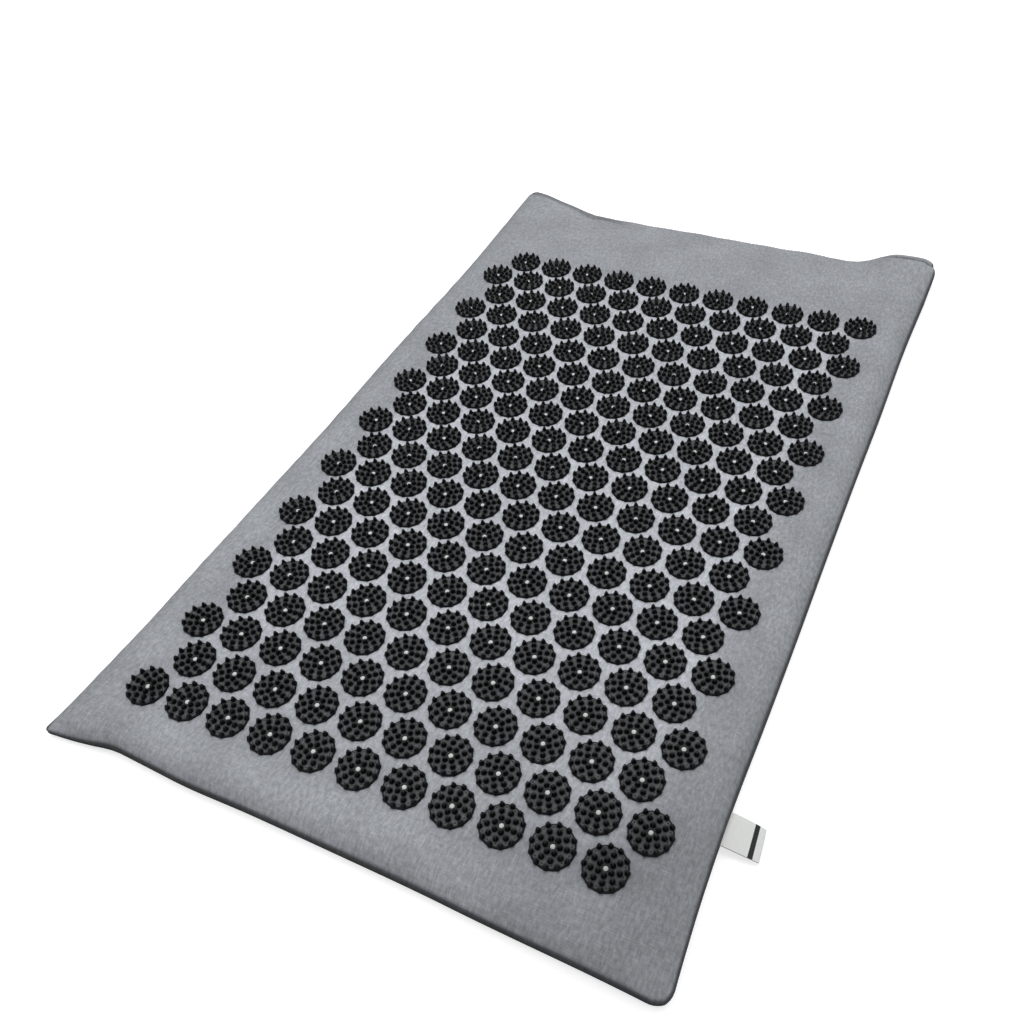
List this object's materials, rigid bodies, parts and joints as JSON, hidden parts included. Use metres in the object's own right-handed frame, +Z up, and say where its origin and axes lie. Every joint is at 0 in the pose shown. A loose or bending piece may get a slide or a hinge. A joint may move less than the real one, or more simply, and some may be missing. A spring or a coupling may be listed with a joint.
{
  "type": "acupressure mat",
  "caption": "Flat padded cloth mat studded with staggered rows of round spiked plastic discs, with a plain end, a zip in the far edge and a side label.",
  "frame": {"origin": "middle of the flat underside, on the surface that the mat lies on", "axes": "+Y along the mat towards its plain end, where the zip is; +X across it, towards the side with the label; +Z up through the discs"},
  "size_m": [0.4306, 0.6938, 0.0281],
  "materials": {
    "grey_cloth": "matt linen-look weave, light grey melange",
    "foam": "open-cell polyurethane foam, cut faces",
    "black_plastic": "moulded black ABS with a slight sheen",
    "woven_label": "fine woven satin ribbon, bare",
    "zip_tape": "close herringbone tape",
    "zip_coil": "nylon coil, satin",
    "zip_metal": "die-cast, nickel-plated, satin"
  },
  "bodies": {
    "mat": {"cover_top": "grey_cloth", "cover_bottom": "grey_cloth", "foam_core": "foam", "disc_row_01": "black_plastic", "disc_row_02": "black_plastic", "disc_row_03": "black_plastic", "disc_row_04": "black_plastic", "disc_row_05": "black_plastic", "disc_row_06": "black_plastic", "disc_row_07": "black_plastic", "disc_row_08": "black_plastic", "disc_row_09": "black_plastic", "disc_row_10": "black_plastic", "disc_row_11": "black_plastic", "disc_row_12": "black_plastic", "disc_row_13": "black_plastic", "disc_row_14": "black_plastic", "disc_row_15": "black_plastic", "disc_row_16": "black_plastic", "disc_row_17": "black_plastic", "disc_row_18": "black_plastic", "disc_row_19": "black_plastic", "disc_row_20": "black_plastic", "side_label": "woven_label", "zip_tape_top": "zip_tape", "zip_tape_bottom": "zip_tape", "zip_coil_top": "zip_coil", "zip_coil_bottom": "zip_coil", "zip_stop_left": "zip_metal", "zip_stop_right": "zip_metal"},
    "slider": {"zip_slider": "zip_metal"},
    "pull": {"zip_pull": "zip_metal"}
  },
  "joints": [
    {"name": "zip_travel", "type": "slide", "parent": "mat", "child": "slider", "axis": [-1, 0, 0], "range_m": [0, 0.2022]},
    {"name": "pull_swing", "type": "hinge", "parent": "slider", "child": "pull", "pos_m": [0.1011, 0.33339, 0.008], "axis": [0, 0, -1], "range_deg": [0, 180]}
  ]
}
